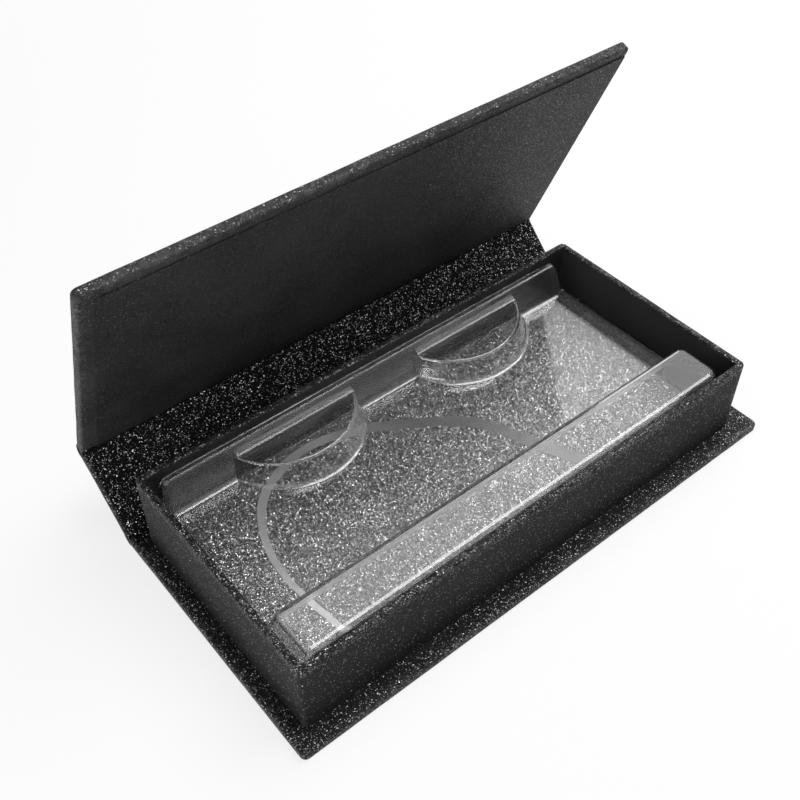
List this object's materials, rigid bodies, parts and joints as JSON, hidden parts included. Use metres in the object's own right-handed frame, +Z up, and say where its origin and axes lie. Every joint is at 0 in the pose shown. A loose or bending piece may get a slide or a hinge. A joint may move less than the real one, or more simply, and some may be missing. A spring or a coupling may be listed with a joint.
{
  "type": "false eyelash case",
  "caption": "Book-style false eyelash case: wrapped boards folded into base, spine and lid, with a shallow wrapped tray that holds a clear lash tray with half-moon platforms.",
  "frame": {"origin": "centre of the base board's underside", "axes": "+X along the case from left to right, +Y from the open front to the spine, +Z up"},
  "size_m": [0.11, 0.0677, 0.0634],
  "materials": {
    "greyboard": "uncoated grey paperboard",
    "black_glitter_paper": "black paper coated with fine glitter",
    "silver_glitter_card": "card coated with fine silver glitter",
    "clear_plastic": "clear thermoformed sheet",
    "magnet": "plated disc magnet"
  },
  "bodies": {
    "base": {"base_board": "greyboard", "base_wrap": "black_glitter_paper", "base_fold": "black_glitter_paper", "tray_front_wall": "greyboard", "tray_back_wall": "greyboard", "tray_left_wall": "greyboard", "tray_right_wall": "greyboard", "tray_floor_board": "greyboard", "tray_wrap": "black_glitter_paper", "tray_pad": "greyboard", "tray_floor_lining": "black_glitter_paper", "glitter_card": "silver_glitter_card", "tray_magnet_left": "magnet", "tray_magnet_right": "magnet", "lash_tray": "clear_plastic"},
    "spine": {"spine_board": "greyboard", "spine_wrap": "black_glitter_paper", "spine_lining": "black_glitter_paper", "lid_fold": "black_glitter_paper"},
    "lid": {"lid_board": "greyboard", "lid_wrap": "black_glitter_paper", "lid_lining": "black_glitter_paper", "lid_magnet_left": "magnet", "lid_magnet_right": "magnet"}
  },
  "joints": [
    {"name": "spine_hinge", "type": "hinge", "parent": "base", "child": "spine", "pos_m": [0, 0.02665, 0.00186], "axis": [-1, 0, 0], "range_deg": [-46.6, 43.4], "deforming": ["base_fold"]},
    {"name": "lid_hinge", "type": "hinge", "parent": "spine", "child": "lid", "pos_m": [0, 0.03915, 0.01368], "axis": [-1, 0, 0], "range_deg": [-21.2, 68.8], "deforming": ["lid_fold"]}
  ]
}
